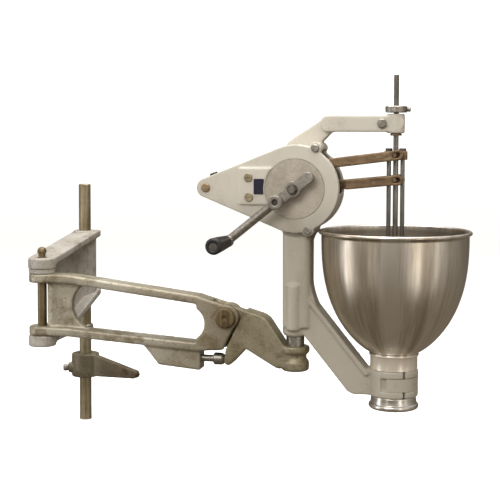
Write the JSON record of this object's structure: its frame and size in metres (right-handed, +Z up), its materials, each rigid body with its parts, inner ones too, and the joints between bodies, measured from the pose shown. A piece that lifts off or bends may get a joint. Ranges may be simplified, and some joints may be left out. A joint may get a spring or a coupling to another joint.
{
  "type": "hand-cranked batter depositor",
  "caption": "Batter depositor: round hopper on a cast C-frame, hand crank that lifts a piston and a cutter through forked levers, on a hinged swing arm and post.",
  "frame": {"origin": "foot of the post, on its axis", "axes": "+Z up the post; +X from the post towards the hopper with the arm straight; -Y towards the user who turns the crank"},
  "size_m": [0.8788, 0.4462, 0.7282],
  "materials": {
    "frame_paint": "worn warm grey paint on a casting",
    "cream_paint": "worn cream paint on a casting",
    "cast_metal": "bare casting, dull",
    "worn_steel": "worn",
    "post_steel": "stained, dull",
    "dark_steel": "dark, oily",
    "plate_steel": "turned face, worn",
    "bronze": "brown, oiled",
    "rod_steel": "ground",
    "bright_steel": "polished",
    "hopper_steel": "spun and brushed",
    "black_plastic": "moulded, smooth",
    "blue_plastic": "dark blue enamel plate"
  },
  "bodies": {
    "post": {"post": "post_steel", "stop_ring": "worn_steel"},
    "lever_collar": {"lever_collar": "cast_metal", "collar_screw": "worn_steel"},
    "bracket": {"bracket": "cast_metal", "bracket_screw": "dark_steel", "hinge_pin": "post_steel"},
    "swing_arm": {"swing_arm": "cast_metal", "hinge_washer": "dark_steel", "tilt_bolt": "cast_metal", "tilt_nut": "dark_steel"},
    "level_screw": {"level_screw": "worn_steel"},
    "knuckle": {"knuckle": "cast_metal", "swivel_pin": "worn_steel"},
    "depositor": {"frame": "frame_paint", "clamp_bridge": "frame_paint", "clamp_screws": "dark_steel", "head_cover": "cream_paint", "cover_screws": "worn_steel", "pad_screws": "worn_steel", "index_plate": "blue_plastic", "oil_plug": "black_plastic", "bearing_plate": "plate_steel", "lever_pin": "bronze", "guide_bush": "bronze", "guide_bolt": "worn_steel", "hopper": "hopper_steel", "outlet_cylinder": "bright_steel", "outlet_ring": "bright_steel"},
    "crank": {"crankshaft": "rod_steel", "cam": "dark_steel", "crank_hub": "worn_steel", "shaft_nut": "dark_steel", "crank_arm": "worn_steel", "crank_bolt": "dark_steel", "grip_bolt": "rod_steel"},
    "grip": {"grip": "black_plastic"},
    "upper_lever": {"upper_lever": "bronze", "upper_roller": "rod_steel"},
    "lower_lever": {"lower_lever": "bronze", "lower_roller": "rod_steel"},
    "piston": {"outer_rods": "rod_steel", "crosshead": "bronze", "rod_nuts": "dark_steel", "piston": "bright_steel"},
    "cutter": {"centre_rod": "rod_steel", "rod_eye": "bronze", "stop_collar": "worn_steel", "stop_screw": "worn_steel", "drop_disc": "bright_steel"}
  },
  "joints": [
    {"name": "collar_slide", "type": "slide", "parent": "post", "child": "lever_collar", "axis": [0, 0, 1], "range_m": [-0.05, 0.03]},
    {"name": "bracket_swing", "type": "hinge", "parent": "post", "child": "bracket", "pos_m": [0, 0, 0.2704], "axis": [0, 0, 1], "range_deg": [-135, 135]},
    {"name": "arm_swing", "type": "hinge", "parent": "bracket", "child": "swing_arm", "pos_m": [0, -0.235, 0.2842], "axis": [0, 0, 1], "range_deg": [-120, 30]},
    {"name": "tilt", "type": "hinge", "parent": "swing_arm", "child": "knuckle", "pos_m": [0.378, -0.235, 0.2732], "axis": [0, -1, 0], "range_deg": [-3, 3]},
    {"name": "level_slide", "type": "slide", "parent": "swing_arm", "child": "level_screw", "axis": [1, 0, 0], "range_m": [-0.005, 0.005]},
    {"name": "column_swivel", "type": "hinge", "parent": "knuckle", "child": "depositor", "pos_m": [0.508, -0.235, 0.2412], "axis": [0, 0, 1], "range_deg": [-85, 85]},
    {"name": "crank_turn", "type": "hinge", "parent": "depositor", "child": "crank", "pos_m": [0.513, -0.235, 0.5192], "axis": [0, 1, 0], "range_deg": [0, 180]},
    {"name": "grip_turn", "type": "hinge", "parent": "crank", "child": "grip", "pos_m": [0.3941, -0.365, 0.42291], "axis": [0, 1, 0], "continuous": true},
    {"name": "upper_lift", "type": "hinge", "parent": "depositor", "child": "upper_lever", "pos_m": [0.345, -0.235, 0.5192], "axis": [0, -1, 0], "range_deg": [-0.1, 3.6]},
    {"name": "lower_lift", "type": "hinge", "parent": "depositor", "child": "lower_lever", "pos_m": [0.345, -0.235, 0.5192], "axis": [0, -1, 0], "range_deg": [-0.1, 6.1]},
    {"name": "piston_slide", "type": "slide", "parent": "depositor", "child": "piston", "axis": [0, 0, 1], "range_m": [-0.0005, 0.0227]},
    {"name": "cutter_slide", "type": "slide", "parent": "depositor", "child": "cutter", "axis": [0, 0, 1], "range_m": [-0.0005, 0.03735]}
  ],
  "couplings": [
    {"joint": "level_slide", "follows": "tilt", "m_per_rad": 0.082},
    {"joint": "upper_lift", "follows": "crank_turn", "ratio": 0.019444},
    {"joint": "lower_lift", "follows": "crank_turn", "ratio": 0.033333},
    {"joint": "piston_slide", "follows": "crank_turn", "m_per_rad": 0.0070672},
    {"joint": "cutter_slide", "follows": "crank_turn", "m_per_rad": 0.011731}
  ]
}
